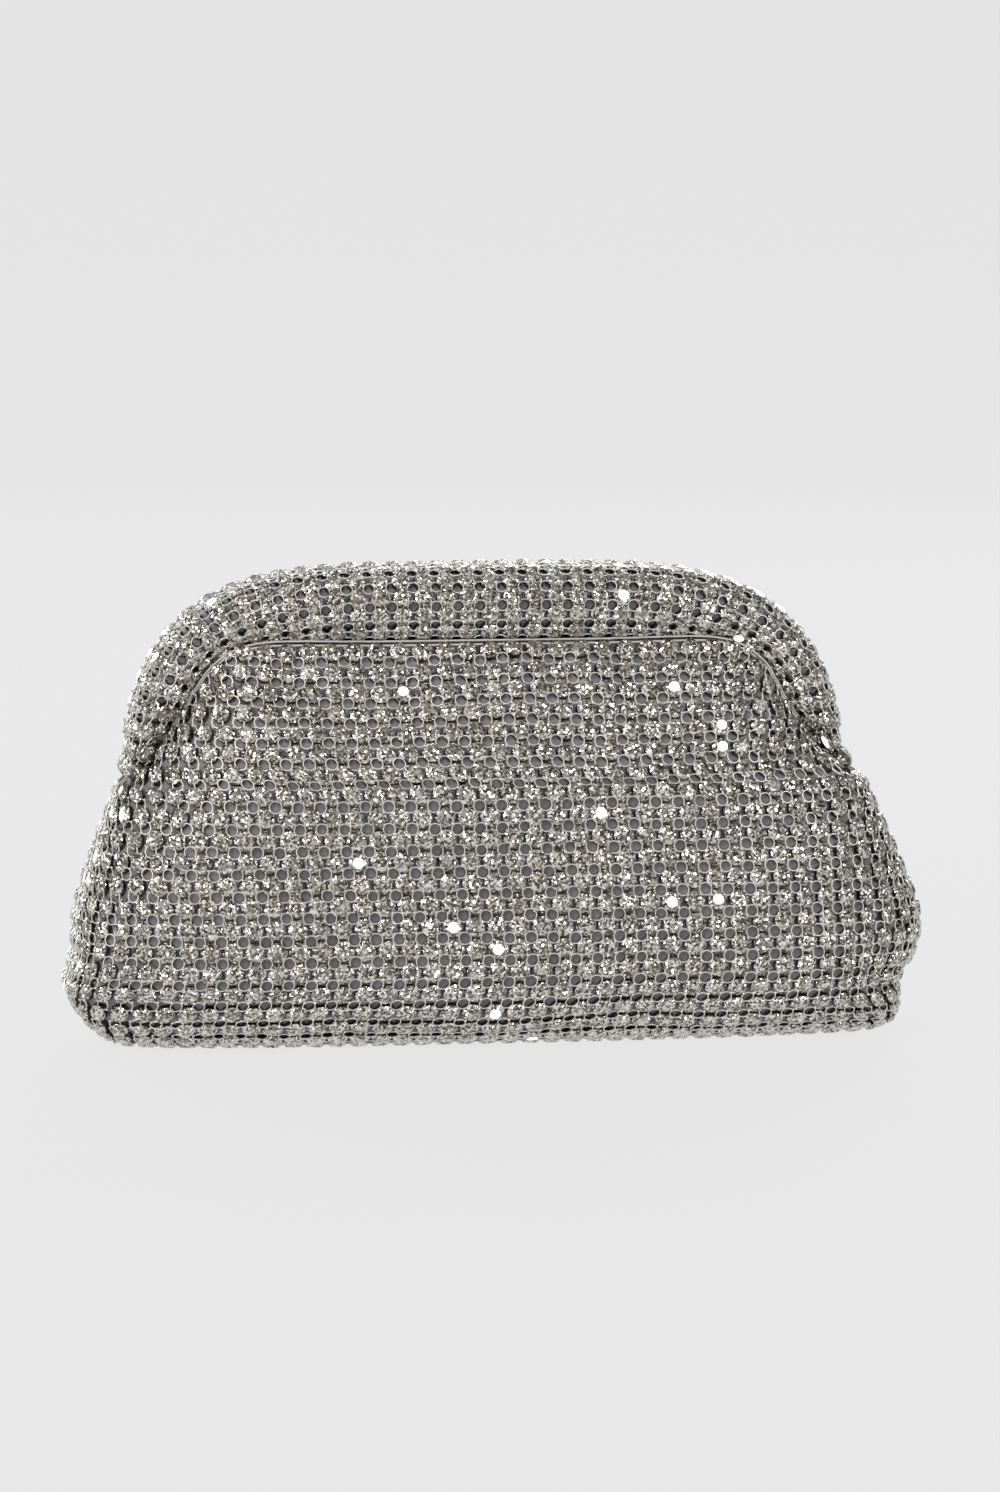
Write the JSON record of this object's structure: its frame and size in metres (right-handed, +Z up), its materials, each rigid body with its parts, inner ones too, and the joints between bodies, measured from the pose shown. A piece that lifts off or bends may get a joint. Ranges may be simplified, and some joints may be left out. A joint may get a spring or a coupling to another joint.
{
  "type": "evening bag",
  "caption": "Soft framed evening clutch in crystal mesh: padded arched frame halves hinge open at both ends above a lined pouch that stands on a flat base.",
  "frame": {"origin": "middle of the flat base, on the surface that the bag stands on", "axes": "+X across the bag to the right seen from the front, -Y towards the front, +Z up"},
  "size_m": [0.2303, 0.0664, 0.1284],
  "materials": {
    "crystal_mesh": "faceted stones in bright metal cups, with metal rings between them",
    "satin": "grey satin, soft sheen",
    "lining": "matt satin lining",
    "board": "stiff fibreboard",
    "rivet": "nickel-plated steel",
    "washer": "plain nylon",
    "bow": "nickel-plated spring steel strip",
    "padding": "soft foam and wadding",
    "facing": "grosgrain ribbon",
    "piping": "satin-covered cord",
    "magnet": "nickel-plated magnet"
  },
  "bodies": {
    "pouch": {"front_crystal_shell": "crystal_mesh", "rear_crystal_shell": "crystal_mesh", "base_crystal_panel": "crystal_mesh", "front_backing": "satin", "rear_backing": "satin", "front_lining": "lining", "rear_lining": "lining", "base_board": "board", "base_lining": "lining", "slip_pocket": "lining", "left_hinge_rivet": "rivet", "right_hinge_rivet": "rivet", "left_hinge_washer": "washer", "right_hinge_washer": "washer"},
    "front_frame": {"front_bow": "bow", "front_roll_padding": "padding", "front_roll_cover": "crystal_mesh", "front_roll_facing": "facing", "front_piping": "piping", "front_upper_panel": "crystal_mesh", "front_upper_backing": "satin", "front_upper_lining": "lining", "front_left_magnet": "magnet", "front_right_magnet": "magnet"},
    "rear_frame": {"rear_bow": "bow", "rear_roll_padding": "padding", "rear_roll_cover": "crystal_mesh", "rear_roll_facing": "facing", "rear_piping": "piping", "rear_upper_panel": "crystal_mesh", "rear_upper_backing": "satin", "rear_upper_lining": "lining", "rear_left_magnet": "magnet", "rear_right_magnet": "magnet"}
  },
  "joints": [
    {"name": "front_frame_hinge", "type": "hinge", "parent": "pouch", "child": "front_frame", "pos_m": [0, 0, 0.075], "axis": [1, 0, 0], "range_deg": [0, 40]},
    {"name": "rear_frame_hinge", "type": "hinge", "parent": "pouch", "child": "rear_frame", "pos_m": [0, 0, 0.075], "axis": [-1, 0, 0], "range_deg": [0, 40]}
  ],
  "couplings": [
    {"joint": "rear_frame_hinge", "follows": "front_frame_hinge", "ratio": 1}
  ]
}
